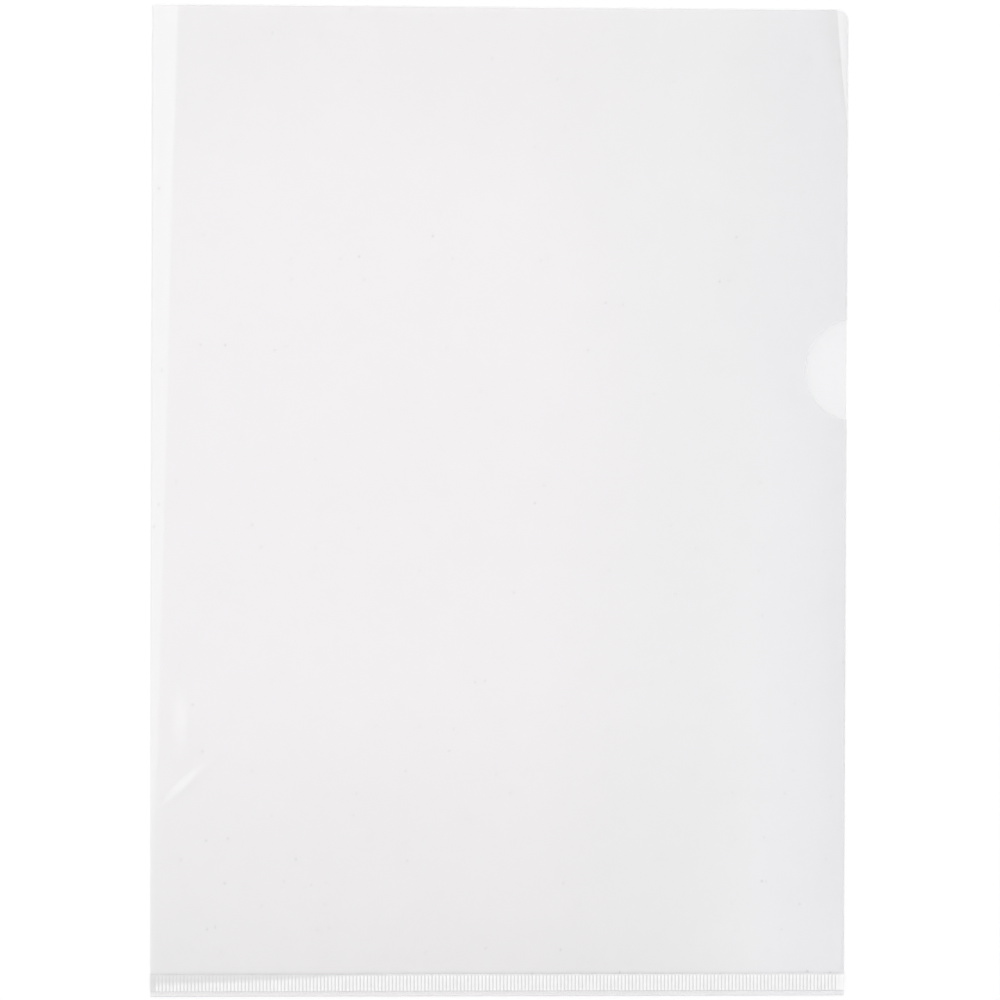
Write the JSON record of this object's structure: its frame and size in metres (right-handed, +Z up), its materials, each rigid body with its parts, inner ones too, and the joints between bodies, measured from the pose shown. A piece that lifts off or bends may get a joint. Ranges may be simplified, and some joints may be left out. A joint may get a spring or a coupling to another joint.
{
  "type": "cut flush folder",
  "caption": "Clear flat plastic folder for A4 sheets: folded along one side, ribbed weld along the bottom, open at the top and the other side, with a half-round thumb cut in the front leaf.",
  "frame": {"origin": "on the table under the middle of the folder, which lies on its back leaf", "axes": "+X from the fold to the open edge, +Y from the welded edge to the open top, +Z up from the table"},
  "size_m": [0.218, 0.31, 0.0023],
  "materials": {
    "clear_film": "gloss",
    "fused_weld": "satin"
  },
  "bodies": {
    "folder": {"back_leaf": "clear_film", "spine_fold_back": "clear_film", "spine_fold_front": "clear_film", "front_spine_band": "clear_film", "front_panel": "clear_film", "ribbed_weld": "fused_weld", "front_lip": "clear_film", "back_lip": "clear_film"},
    "bend_1": {"front_bend_1": "clear_film"},
    "bend_2": {"front_bend_2": "clear_film"},
    "bend_3": {"front_bend_3": "clear_film"},
    "thumb_strip": {"front_thumb_strip": "clear_film"},
    "corner": {"front_corner": "clear_film"}
  },
  "joints": [
    {"name": "leaf_peel", "type": "hinge", "parent": "folder", "child": "bend_1", "pos_m": [0.109, -0.13753, 0.00047], "axis": [0.5675, -0.8234, -0.0052], "range_deg": [0, 20], "stiffness_Nm_per_rad": 0.008},
    {"name": "bend_2_peel", "type": "hinge", "parent": "bend_1", "child": "bend_2", "pos_m": [0.109, -0.08798, 0.00078], "axis": [0.5675, -0.8234, -0.0052], "range_deg": [0, 26], "stiffness_Nm_per_rad": 0.005},
    {"name": "bend_3_peel", "type": "hinge", "parent": "bend_2", "child": "bend_3", "pos_m": [0.109, -0.03844, 0.00109], "axis": [0.5675, -0.8234, -0.0052], "range_deg": [0, 26], "stiffness_Nm_per_rad": 0.004},
    {"name": "thumb_strip_peel", "type": "hinge", "parent": "bend_3", "child": "thumb_strip", "pos_m": [0.109, 0.0111, 0.0014], "axis": [0.5675, -0.8234, -0.0052], "range_deg": [0, 22], "stiffness_Nm_per_rad": 0.003},
    {"name": "corner_peel", "type": "hinge", "parent": "thumb_strip", "child": "corner", "pos_m": [0.109, 0.06476, 0.00173], "axis": [0.5675, -0.8234, -0.0052], "range_deg": [0, 12], "stiffness_Nm_per_rad": 0.0013}
  ],
  "couplings": [
    {"joint": "bend_2_peel", "follows": "leaf_peel", "ratio": 1.3},
    {"joint": "bend_3_peel", "follows": "leaf_peel", "ratio": 1.3},
    {"joint": "thumb_strip_peel", "follows": "leaf_peel", "ratio": 1.1},
    {"joint": "corner_peel", "follows": "leaf_peel", "ratio": 0.6}
  ]
}
